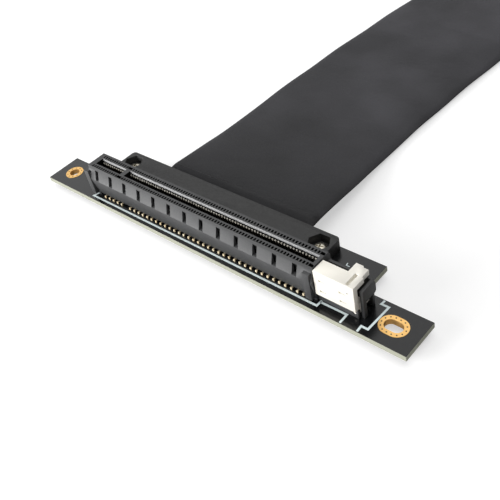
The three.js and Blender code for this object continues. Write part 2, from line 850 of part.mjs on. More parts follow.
const makeCable = () => {
  const points = cablePoints.map((point) => new THREE.Vector3(...point));
  const route = new LevelRoute(points, false, 'centripetal');
  const half = cableWidth / 2;
  const thin = cableThickness / 2;
  const bevel = thin * 0.6;
  const section = new THREE.Shape([
    new THREE.Vector2(-half, -thin + bevel),
    new THREE.Vector2(-half + bevel, -thin),
    new THREE.Vector2(half - bevel, -thin),
    new THREE.Vector2(half, -thin + bevel),
    new THREE.Vector2(half, thin - bevel),
    new THREE.Vector2(half - bevel, thin),
    new THREE.Vector2(-half + bevel, thin),
    new THREE.Vector2(-half, thin - bevel),
  ]);
  const geometry = new THREE.ExtrudeGeometry(section, {
    steps: cableSteps,
    extrudePath: route,
    bevelEnabled: false,
  });
  return solidOf(geometry);
};
piece(slotEnd, 'ribbon_cable', makeCable(), cableBlack, 0.8);

// Set the whole part on its origin
slotEnd.add(plugEnd);
slotEnd.position.set(-(boardLeft + boardRight) / 2, -(boardFront + tabBack) / 2, boardThickness + floorGap);
group.add(slotEnd);

export default group;
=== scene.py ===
# Graphics card riser cable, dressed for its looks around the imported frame.
import math

import bmesh
import bpy
from mathutils import Matrix, Vector, noise


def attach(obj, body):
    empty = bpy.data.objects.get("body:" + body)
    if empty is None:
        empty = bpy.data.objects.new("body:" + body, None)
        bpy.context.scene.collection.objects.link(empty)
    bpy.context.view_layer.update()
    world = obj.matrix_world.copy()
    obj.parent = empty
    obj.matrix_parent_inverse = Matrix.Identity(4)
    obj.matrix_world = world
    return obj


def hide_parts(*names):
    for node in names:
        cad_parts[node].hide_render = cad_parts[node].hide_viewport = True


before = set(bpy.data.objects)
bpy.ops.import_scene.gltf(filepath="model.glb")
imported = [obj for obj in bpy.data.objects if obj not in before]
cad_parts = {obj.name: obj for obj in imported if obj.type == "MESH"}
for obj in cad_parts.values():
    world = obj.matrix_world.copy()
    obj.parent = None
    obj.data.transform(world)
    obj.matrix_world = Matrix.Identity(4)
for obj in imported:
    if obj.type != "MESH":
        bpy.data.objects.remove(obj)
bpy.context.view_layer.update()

# Lengths below are millimetres from the slot opening's left end, its middle line and the
# board's top, as in the part's source. This is where that point lies in the frame.
SHIFT = Vector((-44.08, -4.7, 3.4))
MM = 0.001
BODY = "riser"
LATCH = "latch"


def place(x, y, z):
    """A point in the source's millimetres, as the frame's metres."""
    return (Vector((x, y, z)) + SHIFT) * MM


# ---------------------------------------------------------------- camera

FOCAL_PIXELS = 713.48
IMAGE_PIXELS = 500
SENSOR = 36.0
CLIP_NEAR, CLIP_FAR = 0.005, 20
# The camera's place in millimetres and its axes in the frame, as fitted to the photo.
CAMERA_PLACE = Vector((127.724, -94.842, 133.004))
RIGHT = Vector((0.736434, 0.652611, -0.178226))
UP = Vector((-0.349441, 0.592538, 0.725803))
BACK = Vector((0.579272, -0.472226, 0.664414))

camera_data = bpy.data.cameras.new("camera")
camera_data.sensor_width = SENSOR
camera_data.sensor_fit = "HORIZONTAL"
camera_data.lens = FOCAL_PIXELS * SENSOR / IMAGE_PIXELS
camera_data.clip_start = CLIP_NEAR
camera_data.clip_end = CLIP_FAR
camera = bpy.data.objects.new("camera", camera_data)
bpy.context.scene.collection.objects.link(camera)
turn = Matrix((RIGHT, UP, BACK)).transposed().to_4x4()
camera.matrix_world = Matrix.Translation(CAMERA_PLACE * MM) @ turn
bpy.context.scene.camera = camera


# ---------------------------------------------------------------- helpers

# The corners of a block's six faces: x runs fastest, then y, then z.
BLOCK_FACES = (
    (0, 2, 3, 1), (4, 5, 7, 6), (0, 1, 5, 4), (2, 6, 7, 3), (0, 4, 6, 2), (1, 3, 7, 5),
)
MERGE_WITHIN = 1e-7
FLAT_ANGLE = 0.6
BEVEL_ANGLE = 35
SMOOTH_ANGLE = 40


def add_object(name, mesh):
    obj = bpy.data.objects.new(name, mesh)
    bpy.context.scene.collection.objects.link(obj)
    return obj


def from_bmesh(name, bm):
    bmesh.ops.recalc_face_normals(bm, faces=bm.faces)
    mesh = bpy.data.meshes.new(name)
    bm.to_mesh(mesh)
    bm.free()
    return add_object(name, mesh)


def finish_piece(obj, material, body=BODY):
    """The piece with its one material and the body that it rides in."""
    obj.data.materials.clear()
    obj.data.materials.append(material)
    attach(obj, body)
    return obj


def join_rings(bm, one, two):
    """The faces between two closed rings with as many corners each."""
    for i in range(len(one)):
        j = (i + 1) % len(one)
        bm.faces.new((one[i], one[j], two[j], two[i]))


def add_block(bm, x0, x1, y0, y1, z0, z1):
    """A block between two corners, in the source's millimetres."""
    corners = [place(x, y, z) for z in (z0, z1) for y in (y0, y1) for x in (x0, x1)]
    verts = [bm.verts.new(corner) for corner in corners]
    for face in BLOCK_FACES:
        bm.faces.new([verts[i] for i in face])


def add_disc(bm, x, y, radius, z0, z1, sides=10):
    """A short upright cylinder, in the source's millimetres."""
    low, high = [], []
    for i in range(sides):
        angle = 2 * math.pi * i / sides
        px, py = x + radius * math.cos(angle), y + radius * math.sin(angle)
        low.append(bm.verts.new(place(px, py, z0)))
        high.append(bm.verts.new(place(px, py, z1)))
    bm.faces.new(low[::-1])
    bm.faces.new(high)
    join_rings(bm, low, high)


def add_strip(bm, points, width, z0, z1):
    """A flat line of even width through the points, with mitred corners."""
    least_slant = 0.35
    left, right = [], []
    for i, point in enumerate(points):
        here = Vector(point)
        before = (here - Vector(points[i - 1])).normalized() if i else None
        after = (Vector(points[i + 1]) - here).normalized() if i < len(points) - 1 else None
        before = before or after
        after = after or before
        bisector = (before + after).normalized()
        side = Vector((-bisector.y, bisector.x))
        reach = width / 2 / max(least_slant, side.dot(Vector((-after.y, after.x))))
        left.append(here + side * reach)
        right.append(here - side * reach)
    rings = []
    for a, b in zip(left, right):
        rings.append([
            bm.verts.new(place(a.x, a.y, z0)),
            bm.verts.new(place(a.x, a.y, z1)),
            bm.verts.new(place(b.x, b.y, z1)),
            bm.verts.new(place(b.x, b.y, z0)),
        ])
    for one, two in zip(rings, rings[1:]):
        join_rings(bm, one, two)
    bm.faces.new(rings[0][::-1])
    bm.faces.new(rings[-1])


def refined(node, name, width, segments):
    """A copy of a CAD node with clean faces and its sharp edges rounded by width millimetres."""
    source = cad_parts[node]
    mesh = source.data.copy()
    mesh.name = name
    mesh.transform(source.matrix_world)
    bm = bmesh.new()
    bm.from_mesh(mesh)
    bmesh.ops.remove_doubles(bm, verts=bm.verts, dist=MERGE_WITHIN)
    bmesh.ops.dissolve_limit(
        bm, angle_limit=math.radians(FLAT_ANGLE), verts=bm.verts, edges=bm.edges,
        delimit={"NORMAL"},
    )
    bm.to_mesh(mesh)
    bm.free()
    obj = add_object(name, mesh)
    bevel = obj.modifiers.new("bevel", "BEVEL")
    bevel.width = width * MM
    bevel.segments = segments
    bevel.limit_method = "ANGLE"
    bevel.angle_limit = math.radians(BEVEL_ANGLE)
    apply_modifiers(obj)
    smooth_by_angle(obj, SMOOTH_ANGLE)
    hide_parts(node)
    return obj


def apply_modifiers(obj):
    """The object's mesh as its modifiers leave it."""
    graph = bpy.context.evaluated_depsgraph_get()
    graph.update()
    mesh = bpy.data.meshes.new_from_object(obj.evaluated_get(graph))
    obj.modifiers.clear()
    obj.data = mesh


def smooth_by_angle(obj, degrees):
    """Smooth shading over soft corners, with the sharp ones marked."""
    bm = bmesh.new()
    bm.from_mesh(obj.data)
    limit = math.radians(degrees)
    for face in bm.faces:
        face.smooth = True
    for edge in bm.edges:
        if len(edge.link_faces) == 2:
            edge.smooth = edge.calc_face_angle(0) < limit
        else:
            edge.smooth = False
    bm.to_mesh(obj.data)
    bm.free()


# ---------------------------------------------------------------- the cable's route

CABLE_WIDTH = 57.0
CABLE_THICKNESS = 1.2
CABLE_ROUTE = [
    (41, 15.85, 1.9),
    (40.95, 19.3, 2.15),
    (40.5, 25.8, 1.5),
    (39.4, 37.8, -0.2),
    (38.2, 49.8, -1.8),
    (37.6, 61.8, -2.6),
    (37.8, 75.8, -2.45),
    (38.4, 89.8, -2.7),
    (39.2, 104.8, -2.45),
    (40.4, 119.8, -2.7),
    (41.8, 135.8, -2.5),
    (43.5, 151.8, -2.75),
    (45.6, 169.8, -2.7),
    (48.0, 191.8, -2.75),
    (50.0, 215.8, -2.5),
    (51.4, 241.8, -2.75),
    (52.0, 269.8, -2.7),
    (52.2, 299.8, -2.5),
    (52.2, 329.8, -2.75),
    (52.2, 347, -2.3),
    (52.2, 359, -0.6),
    (52.2, 368, 1.1),
    (52.2, 375.3, 1.5),
]


# The pairs of knots that each of the curve's three steps runs between.
KNOT_PAIRS = (((0, 1), (1, 2), (2, 3)), ((0, 2), (1, 3)), ((1, 2),))


def smooth_route(points, per_span):
    """A centripetal curve through the points, as the source's own."""
    points = [Vector(p) for p in points]
    points = [2 * points[0] - points[1]] + points + [2 * points[-1] - points[-2]]
    out = []
    for i in range(1, len(points) - 2):
        group = points[i - 1:i + 3]
        knots = [0.0]
        for a, b in zip(group, group[1:]):
            knots.append(knots[-1] + math.sqrt((b - a).length))
        for step in range(per_span):
            t = knots[1] + (knots[2] - knots[1]) * step / per_span
            level = list(group)
            for pairs in KNOT_PAIRS:
                level = [
                    level[j].lerp(level[j + 1], (t - knots[k0]) / (knots[k1] - knots[k0]))
                    for j, (k0, k1) in enumerate(pairs)
                ]
            out.append(level[0])
    out.append(points[-2])
    return out


def even_route(points, count):
    """The same route as count + 1 points an even distance apart, and its length."""
    reach = [0.0]
    for a, b in zip(points, points[1:]):
        reach.append(reach[-1] + (b - a).length)
    out, j = [], 0
    for i in range(count + 1):
        want = reach[-1] * i / count
        while j < len(points) - 2 and reach[j + 1] < want:
            j += 1
        span = reach[j + 1] - reach[j]
        out.append(points[j].lerp(points[j + 1], (want - reach[j]) / span if span else 0))
    return out, reach[-1]


# ---------------------------------------------------------------- materials

class Tree:
    """A material's nodes, added one after another."""

    def __init__(self, name):
        self.material = bpy.data.materials.new(name)
        self.material.use_nodes = True
        self.nodes = self.material.node_tree.nodes
        self.links = self.material.node_tree.links
        self.shader = self.nodes["Principled BSDF"]
        self.place = self.add("ShaderNodeTexCoord").outputs["Object"]

    def add(self, kind, **values):
        node = self.nodes.new(kind)
        for key, value in values.items():
            setattr(node, key, value)
        return node

    def link(self, start, end):
        self.links.new(start, end)

    def split(self, vector):
        """A vector's X, Y and Z, by name."""
        node = self.add("ShaderNodeSeparateXYZ")
        self.link(vector, node.inputs[0])
        return node.outputs

    def calc(self, operation, *values):
        """One sum over numbers or the outputs that give them."""
        node = self.add("ShaderNodeMath", operation=operation)
        for socket, value in zip(node.inputs, values):
            if isinstance(value, (int, float)):
                socket.default_value = value
            else:
                self.link(value, socket)
        return node.outputs[0]

    def noise(self, scale, detail, roughness=0.55, stretch=None):
        """Cloudy noise, its three axes scaled by stretch where that is given."""
        node = self.add("ShaderNodeTexNoise")
        node.inputs["Scale"].default_value = scale
        node.inputs["Detail"].default_value = detail
        node.inputs["Roughness"].default_value = roughness
        if stretch:
            mapping = self.add("ShaderNodeMapping")
            mapping.inputs["Scale"].default_value = stretch
            self.link(self.place, mapping.inputs["Vector"])
            self.link(mapping.outputs["Vector"], node.inputs["Vector"])
        else:
            self.link(self.place, node.inputs["Vector"])
        return node.outputs["Fac"]

    def spread(self, value, low, high, start=0.3, end=0.7):
        """The value's span from start to end, laid over low to high."""
        node = self.add("ShaderNodeMapRange")
        node.inputs["From Min"].default_value = start
        node.inputs["From Max"].default_value = end
        node.inputs["To Min"].default_value = low
        node.inputs["To Max"].default_value = high
        self.link(value, node.inputs["Value"])
        return node.outputs["Result"]

    def blend(self, factor, one, two):
        """Two colours, or the outputs that give them, mixed by factor."""
        node = self.add("ShaderNodeMix", data_type="RGBA")
        self.link(factor, node.inputs["Factor"])
        for socket, colour in ((node.inputs[6], one), (node.inputs[7], two)):
            if isinstance(colour, tuple):
                socket.default_value = (*colour, 1)
            else:
                self.link(colour, socket)
        return node.outputs[2]

    def bump(self, height, distance, strength, normal=None):
        """Relief of so many millimetres, over another normal where that is given."""
        node = self.add("ShaderNodeBump")
        node.inputs["Distance"].default_value = distance * MM
        node.inputs["Strength"].default_value = strength
        self.link(height, node.inputs["Height"])
        if normal:
            self.link(normal, node.inputs["Normal"])
        return node.outputs["Normal"]

    def set(self, **sockets):
        """The finished material, with each shader input set or linked."""
        for key, value in sockets.items():
            socket = self.shader.inputs[key.replace("_", " ")]
            if isinstance(value, (int, float)):
                socket.default_value = value
            elif isinstance(value, tuple):
                socket.default_value = (*value, 1)
            else:
                self.link(value, socket)
        return self.material


BLOTCH_SCALE = 180
WEAR_SCALE = 700


def plastic(name, light, dark, rough, grain, depth, specular=0.5):
    """Plastic with soft blotches between two colours and fine grain of a depth in millimetres."""
    tree = Tree(name)
    blotch = tree.noise(BLOTCH_SCALE, 4)
    fine = tree.noise(grain, 4, 0.6)
    return tree.set(
        Base_Color=tree.blend(tree.spread(blotch, 0, 1), dark, light),
        Roughness=tree.spread(fine, rough - 0.06, rough + 0.08),
        Specular_IOR_Level=specular,
        Normal=tree.bump(fine, depth, 0.6),
    )


def metal(name, light, dark, rough):
    """Metal that wear makes darker and rougher in places."""
    tree = Tree(name)
    wear = tree.noise(WEAR_SCALE, 5)
    fine = tree.noise(2600, 4)
    return tree.set(
        Base_Color=tree.blend(tree.spread(wear, 0, 1), dark, light),
        Metallic=1.0,
        Roughness=tree.spread(wear, rough - 0.06, rough + 0.12),
        Normal=tree.bump(fine, 0.01, 0.5),
    )


def contact_material():
    """Bright gold at the tails, and painted shade that makes the contacts dull and dark down in
    the slot.
    """
    tree = Tree("contact_gold_painted_shade")
    height = tree.split(tree.place)["Z"]
    # The heights above the frame's floor that the gold grows dark between, as painted shade.
    fade = (5.2 * MM, 6.2 * MM)
    wear = tree.noise(WEAR_SCALE, 5)
    return tree.set(
        Base_Color=tree.blend(
            tree.spread(height, 0, 1, *fade), (0.98, 0.84, 0.56), (0.03, 0.024, 0.018)),
        Metallic=tree.spread(height, 0.75, 0.0, *fade),
        Roughness=tree.spread(wear, 0.3, 0.45),
    )


def housing_material():
    """Moulded black plastic, with painted shade that makes the walls of the pockets and the
    opening near black.
    """
    tree = Tree("housing_plastic_painted_shade")
    axes = tree.split(tree.place)
    # Millimetres of the frame: the painted shade's middle, its reach and its soft edge.
    middle_x, middle_y = -1.88, SHIFT.y
    half_length, half_width, blur = 43.1, 3.0, 0.03
    top_fade = (14.5 * MM, 14.58 * MM)

    def within(value, middle, half):
        """One where the value lies within half of the middle, and nothing outside."""
        size = tree.calc("ABSOLUTE", tree.calc("SUBTRACT", value, middle * MM))
        return tree.spread(size, 1, 0, (half - blur) * MM, (half + blur) * MM)

    across = within(axes["Y"], middle_y, half_width)
    along = within(axes["X"], middle_x, half_length)
    below = tree.spread(axes["Z"], 1, 0, *top_fade)
    # The mask of the painted shade: near black, with weak reflections, in the pockets and the
    # opening.
    painted_shade_mask = tree.calc("MULTIPLY", tree.calc("MULTIPLY", across, along), below)
    blotch = tree.noise(BLOTCH_SCALE, 4)
    fine = tree.noise(2400, 4, 0.6)
    outside = tree.blend(
        tree.spread(blotch, 0, 1), (0.014, 0.0145, 0.016), (0.026, 0.0265, 0.028))
    return tree.set(
        Base_Color=tree.blend(painted_shade_mask, outside, (0.003, 0.003, 0.003)),
        Roughness=tree.spread(fine, 0.5, 0.64),
        Specular_IOR_Level=tree.spread(painted_shade_mask, 1.0, 0.12, 0, 1),
        Normal=tree.bump(fine, 0.012, 0.6),
    )


def board_material():
    """Glossy black solder mask with faint buried tracks, and the bare laminate at the sides."""
    tree = Tree("solder_mask")
    least_upright = 0.6
    track_angle = math.radians(35)
    facing = tree.split(tree.add("ShaderNodeNewGeometry").outputs["Normal"])
    is_flat = tree.calc("GREATER_THAN", tree.calc("ABSOLUTE", facing["Z"]), least_upright)
    tracks = tree.add("ShaderNodeTexWave", wave_type="BANDS", bands_direction="X")
    tracks.inputs["Scale"].default_value = 420
    slanted = tree.add("ShaderNodeMapping")
    slanted.inputs["Rotation"].default_value = (0, 0, track_angle)
    tree.link(tree.place, slanted.inputs["Vector"])
    tree.link(slanted.outputs["Vector"], tracks.inputs["Vector"])
    dust = tree.noise(900, 6, 0.65)
    layers = tree.add("ShaderNodeTexWave", wave_type="BANDS", bands_direction="Z")
    layers.inputs["Scale"].default_value = 900
    layers.inputs["Distortion"].default_value = 1.5
    tree.link(tree.place, layers.inputs["Vector"])
    laminate = tree.blend(
        tree.spread(layers.outputs["Fac"], 0, 1, 0, 1), (0.30, 0.31, 0.24), (0.42, 0.42, 0.34))
    mask = tree.blend(
        tree.spread(dust, 0, 1, 0.45, 0.8), (0.004, 0.0045, 0.005), (0.010, 0.010, 0.010))
    weave = tree.noise(1500, 2)
    normal = tree.bump(tracks.outputs["Fac"], 0.006, 0.35)
    return tree.set(
        Base_Color=tree.blend(is_flat, laminate, mask),
        Roughness=tree.spread(is_flat, 0.75, 0.22, 0, 1),
        Normal=tree.bump(weave, 0.004, 0.4, normal),
    )


def cable_material():
    """A soft dark sleeve with fine grain and soft wrinkles, painted darker near the slot and
    lighter towards its far end, as painted shade and painted light.
    """
    tree = Tree("cable_sleeve")
    grain = tree.noise(2600, 4, 0.65)
    cloud = tree.noise(20, 3, 0.5)
    wrinkles = tree.noise(1.0, 3, 0.5, stretch=(28, 160, 40))
    # Cloudy patches of painted light and shade, standing in for light on the sleeve's soft humps.
    painted_light_patches = tree.spread(cloud, 0, 1, 0.36, 0.64)
    near = tree.blend(painted_light_patches, (0.004, 0.0039, 0.005), (0.014, 0.0138, 0.017))
    far = tree.blend(painted_light_patches, (0.011, 0.0108, 0.014), (0.042, 0.041, 0.048))
    # The metres of the frame's y that the painted shade near the slot turns to painted light
    # between.
    painted_light_span = (0.02, 0.11)
    along = tree.split(tree.place)["Y"]
    colour = tree.blend(tree.spread(along, 0, 1, *painted_light_span), near, far)
    normal = tree.bump(wrinkles, 0.5, 0.6)
    return tree.set(
        Base_Color=colour,
        Roughness=tree.spread(grain, 0.55, 0.72),
        Sheen_Weight=0.04,
        Specular_IOR_Level=0.4,
        Normal=tree.bump(grain, 0.035, 0.6, normal),
    )


board_black = board_material()
housing_plastic_painted_shade = housing_material()
cover_plastic = plastic(
    "cover_plastic", (0.018, 0.018, 0.018), (0.012, 0.012, 0.012), 0.5, 1500, 0.03, 0.6)
chamfer_plastic = plastic(
    "chamfer_plastic", (0.04, 0.04, 0.042), (0.03, 0.03, 0.032), 0.36, 2400, 0.003, 0.6)
latch_plastic = plastic("latch_plastic", (0.86, 0.83, 0.76), (0.82, 0.79, 0.71), 0.42, 1200, 0.01)
gold = metal("gold_plate", (0.95, 0.62, 0.24), (0.85, 0.5, 0.17), 0.34)
# The contacts are painted dark down in the slot, as painted shade.
contact_gold_painted_shade = contact_material()
# Pale and not metal: the glint on the contact tips is painted.
tip_painted_glint = plastic("contact_tip_painted_glint", (0.85, 0.82, 0.74), (0.75, 0.7, 0.6), 0.4, 1500, 0.004)
# Pale gold and not metal: the glint on the tails' bends is painted.
knuckle_gold_painted_glint = plastic("knuckle_gold_painted_glint", (0.95, 0.84, 0.62), (0.85, 0.66, 0.38), 0.3, 1500, 0.004)
nickel = metal("screw_nickel", (0.78, 0.74, 0.64), (0.6, 0.56, 0.46), 0.28)
brass = metal("insert_brass", (0.75, 0.55, 0.25), (0.6, 0.42, 0.16), 0.35)
tin = metal("tinned_wire", (0.72, 0.71, 0.69), (0.55, 0.54, 0.52), 0.35)
solder = metal("solder", (0.75, 0.75, 0.74), (0.6, 0.6, 0.58), 0.25)
print_white = plastic("print_white", (0.78, 0.88, 0.88), (0.7, 0.8, 0.81), 0.6, 1500, 0.004)
hole_dark = plastic("via_dark", (0.03, 0.02, 0.012), (0.02, 0.014, 0.01), 0.6, 1500, 0.004)
# The latch marks' dark colour is painted shade, and their thin lines are painted shadows.
mark_painted_shade = plastic("mark_painted_shade", (0.36, 0.33, 0.22), (0.3, 0.27, 0.18), 0.6, 1500, 0.004)
sleeve = cable_material()


# ---------------------------------------------------------------- the cable

HALF_WIDTH = CABLE_WIDTH / 2
HALF_THICKNESS = CABLE_THICKNESS / 2
RIM_WIDTH = 1.6
RIM_THINNING = 0.55
EDGE_CROWDING = 0.92
EDGE_STILLNESS = 0.9
UNDERSIDE_SHARE = 0.8
WAVE_FADE = 12


def ridge(travelled, middle, reach):
    """A soft ridge across the cable, one high at its middle."""
    return math.exp(-((travelled - middle) / reach) ** 2)


def wave_lift(wide, travelled):
    """How far the sleeve lifts off the cable's flat shape, before it fades at the edges."""
    long_wave = noise.noise(Vector((wide * 0.014, travelled * 0.05, 3.1)))
    short_wave = noise.noise(Vector((wide * 0.03, travelled * 0.16, 9.7)))
    slant = noise.noise(Vector((wide * 0.05 + travelled * 0.03, travelled * 0.07, 5.3)))
    return 1.3 * abs(long_wave) + 0.16 * short_wave + 0.35 * slant


def build_cable():
    """The soft flat cable, and the points of its middle line."""
    along, across = 420, 44
    route, length = even_route(smooth_route(CABLE_ROUTE, 40), along)
    bm = bmesh.new()
    rings = []
    for i, centre in enumerate(route):
        before = route[max(0, i - 1)]
        after = route[min(along, i + 1)]
        ahead = (after - before).normalized()
        side = Vector((ahead.y, -ahead.x, 0)).normalized()
        up = side.cross(ahead).normalized()
        travelled = length * i / along
        fold = 0.8 * ridge(travelled, 2.3, 1.0) - 0.3 * ridge(travelled, 4.4, 1.2)
        end_fade = min(1.0, travelled / WAVE_FADE, (length - travelled) / WAVE_FADE)
        top, bottom = [], []
        for j in range(across + 1):
            share = -1 + 2 * j / across
            wide = math.copysign(abs(share) ** EDGE_CROWDING, share) * HALF_WIDTH
            rim = max(0.0, (abs(wide) - (HALF_WIDTH - RIM_WIDTH)) / RIM_WIDTH)
            thick = HALF_THICKNESS * (1 - RIM_THINNING * rim ** 2)
            stillness = 1 - EDGE_STILLNESS * share ** 4
            lift = max(0.0, wave_lift(wide, travelled) * end_fade * stillness)
            base = centre + side * wide
            above = base + up * (thick + lift + fold * (1 - rim ** 2))
            below = base + up * (lift * UNDERSIDE_SHARE - thick)
            top.append(bm.verts.new(place(*above)))
            bottom.append(bm.verts.new(place(*below)))
        rings.append(top + bottom[::-1])
    for one, two in zip(rings, rings[1:]):
        join_rings(bm, one, two)
    count = len(rings[0])
    for ring in (rings[0], rings[-1]):
        for j in range(across):
            bm.faces.new((ring[j], ring[j + 1], ring[count - 2 - j], ring[count - 1 - j]))
    cable = from_bmesh("cable", bm)
    smooth_by_angle(cable, 50)
    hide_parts("ribbon_cable")
    finish_piece(cable, sleeve)
    path = [tuple(place(*point)) for point in route[::6]]
    return cable, path


cable, cable_path = build_cable()


# ---------------------------------------------------------------- CAD pieces with rounded edges

# How wide the edges are rounded, in millimetres.
BOARD_EDGE = 0.04
HOUSING_EDGE = 0.045
COVER_EDGE = 0.22
LATCH_EDGE = 0.16


def dress(node, width, material, body=BODY, segments=2):
    """A finished piece with rounded edges in a CAD node's place."""
    piece = refined(node, f"{node}_body", width, segments)
    return finish_piece(piece, material, body)


dress("slot_board", BOARD_EDGE, board_black, segments=1)
dress("slot_housing", HOUSING_EDGE, housing_plastic_painted_shade)
dress("slot_top_cover", COVER_EDGE, cover_plastic)
dress("slot_bottom_cover", COVER_EDGE, cover_plastic)
dress("card_latch", LATCH_EDGE, latch_plastic, LATCH, 3)
plug_board = dress("plug_board", BOARD_EDGE, board_black, segments=1)
plug_top = dress("plug_top_cover", COVER_EDGE, cover_plastic)
plug_bottom = dress("plug_bottom_cover", COVER_EDGE, cover_plastic)


def repaint(node, material):
    """A CAD node that keeps its shape, in the material given."""
    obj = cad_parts[node]
    obj.data.materials.clear()
    obj.data.materials.append(material)


for node in ("round_hole_plating", "long_hole_plating"):
    repaint(node, gold)
for node in ("front_contact_row", "back_contact_row"):
    repaint(node, contact_gold_painted_shade)
for node in ("slot_insert_left", "slot_insert_right", "plug_insert_left", "plug_insert_right"):
    repaint(node, brass)
for node in ("slot_wire_ends", "plug_wire_ends"):
    repaint(node, tin)


# ---------------------------------------------------------------- screws

SCREW_LINE = 11.35
SCREW_PLACES = (0.05, 75.85)
PLUG_PLACE = Vector((52.2, 375.6, 0))
PLUG_SCREW_LINE = 4.2
PLUG_SCREW_PLACES = (-37.9, 37.9)
SCREW_SIDES = 32
SHANK_RADIUS = 0.72
SHANK_FOOT = -2.9
THREAD_RADIUS = 0.85
THREAD_FOOT, THREAD_TOP = -2.7, 0.4
THREAD_PITCH = 0.3
DOME_RADIUS = 1.93
DOME_FOOT = 1.45
DOME_HEIGHT = 0.55
DOME_STEPS = 6
RECESS_HALF_LENGTH = 1.05
RECESS_HALF_WIDTH = 0.2
RECESS_FLOOR = 1.35
RECESS_ANGLES = (20, 110)


def screw_profile():
    """Radius and height of the screw's outline, from its foot up to the middle of its dome."""
    profile = [(0, SHANK_FOOT), (SHANK_RADIUS, SHANK_FOOT)]
    height = THREAD_FOOT
    while height < THREAD_TOP:
        profile += [
            (SHANK_RADIUS, height), (THREAD_RADIUS, height + 0.12), (SHANK_RADIUS, height + 0.24),
        ]
        height += THREAD_PITCH
    profile += [(0.8, 0.7), (1.98, 0.7), (2.0, 0.78), (2.0, 1.2), (DOME_RADIUS, DOME_FOOT)]
    for i in range(1, DOME_STEPS):
        angle = math.radians(90 * i / DOME_STEPS)
        radius = DOME_RADIUS * math.cos(angle * 0.92)
        profile.append((radius, DOME_FOOT + DOME_HEIGHT * math.sin(angle)))
    return profile + [(0, DOME_FOOT + DOME_HEIGHT)]


def build_screw(node, name, x, y):
    """A pan head screw with a domed top, a cross recess and ridges for its thread."""
    bm = bmesh.new()
    rings = []
    for radius, height in screw_profile():
        if radius == 0:
            rings.append([bm.verts.new(place(x, y, height))])
            continue
        ring = []
        for i in range(SCREW_SIDES):
            angle = 2 * math.pi * i / SCREW_SIDES
            px, py = x + radius * math.cos(angle), y + radius * math.sin(angle)
            ring.append(bm.verts.new(place(px, py, height)))
        rings.append(ring)
    foot, *middle_rings, crown = rings
    for i in range(SCREW_SIDES):
        j = (i + 1) % SCREW_SIDES
        bm.faces.new((foot[0], middle_rings[0][j], middle_rings[0][i]))
    for low, high in zip(middle_rings, middle_rings[1:]):
        join_rings(bm, low, high)
    for i in range(SCREW_SIDES):
        j = (i + 1) % SCREW_SIDES
        bm.faces.new((middle_rings[-1][i], middle_rings[-1][j], crown[0]))
    screw = from_bmesh(name, bm)
    for turn_angle in RECESS_ANGLES:
        block = bmesh.new()
        add_block(
            block, -RECESS_HALF_LENGTH, RECESS_HALF_LENGTH,
            -RECESS_HALF_WIDTH, RECESS_HALF_WIDTH, RECESS_FLOOR, 3)
        spin = Matrix.Rotation(math.radians(turn_angle), 4, "Z")
        spin = Matrix.Translation(place(x, y, 0)) @ spin @ Matrix.Translation(-place(0, 0, 0))
        block.transform(spin)
        block_mesh = bpy.data.meshes.new("block")
        block.to_mesh(block_mesh)
        block.free()
        tool = add_object("tool", block_mesh)
        cut = screw.modifiers.new("cut", "BOOLEAN")
        cut.operation = "DIFFERENCE"
        cut.solver = "EXACT"
        cut.object = tool
        apply_modifiers(screw)
        bpy.data.objects.remove(tool)
    smooth_by_angle(screw, 35)
    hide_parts(node)
    return finish_piece(screw, nickel)


for index, side in enumerate(("left", "right")):
    build_screw(
        f"slot_screw_{side}", f"slot_screw_{side}_head", SCREW_PLACES[index], SCREW_LINE)
    build_screw(
        f"plug_screw_{side}", f"plug_screw_{side}_head",
        PLUG_PLACE.x + PLUG_SCREW_PLACES[index], PLUG_PLACE.y + PLUG_SCREW_LINE)


# ---------------------------------------------------------------- small detail at the slot end

PIN_PLACES = list(range(1, 12)) + list(range(14, 85))
LAST_BEFORE_KEY = 11
BOARD_UNDER = -1.6
PRINT_HEIGHT = 0.03


def build_board_print():
    """The white printed lines on the slot board."""
    lines = [
        [(-1.95, -2.91), (-2.63, -4.89), (86.91, -4.56), (87.05, -2.03)],
        [(87.0, -3.12), (94.92, -3.02), (94.98, -6.03)],
        [
            (100.08, 5.55), (99.92, 4.17), (102.07, 4.22),
            (101.77, -4.15), (99.86, -4.13), (99.95, -6.01),
        ],
        [(84.68, 11.55), (84.89, 10.65), (85.92, 10.67)],
    ]
    widths = (0.6, 0.6, 0.6, 0.3)
    bm = bmesh.new()
    for line, width in zip(lines, widths):
        add_strip(bm, line, width, 0.0, PRINT_HEIGHT)
    return finish_piece(from_bmesh("board_print", bm), print_white)


def build_vias(name, x, half_x, half_y, count, start=0.0):
    """Dark dots round a plated hole, on both its rims, evenly along an oval."""
    middle_y, dot_radius = -0.1, 0.2
    rim, dot_top = 0.075, 0.095
    bm = bmesh.new()
    straight = max(0.0, half_x - half_y)
    total = 4 * straight + 2 * math.pi * half_y
    for i in range(count):
        s = (i + start) / count * total
        if s < 2 * straight:
            px, py = -straight + s, -half_y
        elif s < 2 * straight + math.pi * half_y:
            angle = -math.pi / 2 + (s - 2 * straight) / half_y
            px, py = straight + half_y * math.cos(angle), half_y * math.sin(angle)
        elif s < 4 * straight + math.pi * half_y:
            px, py = straight - (s - 2 * straight - math.pi * half_y), half_y
        else:
            angle = math.pi / 2 + (s - 4 * straight - math.pi * half_y) / half_y
            px, py = -straight + half_y * math.cos(angle), half_y * math.sin(angle)
        for z0, z1 in ((rim, dot_top), (BOARD_UNDER - dot_top, BOARD_UNDER - rim)):
            add_disc(bm, x + px, middle_y + py, dot_radius, z0, z1)
    return finish_piece(from_bmesh(name, bm), hole_dark)


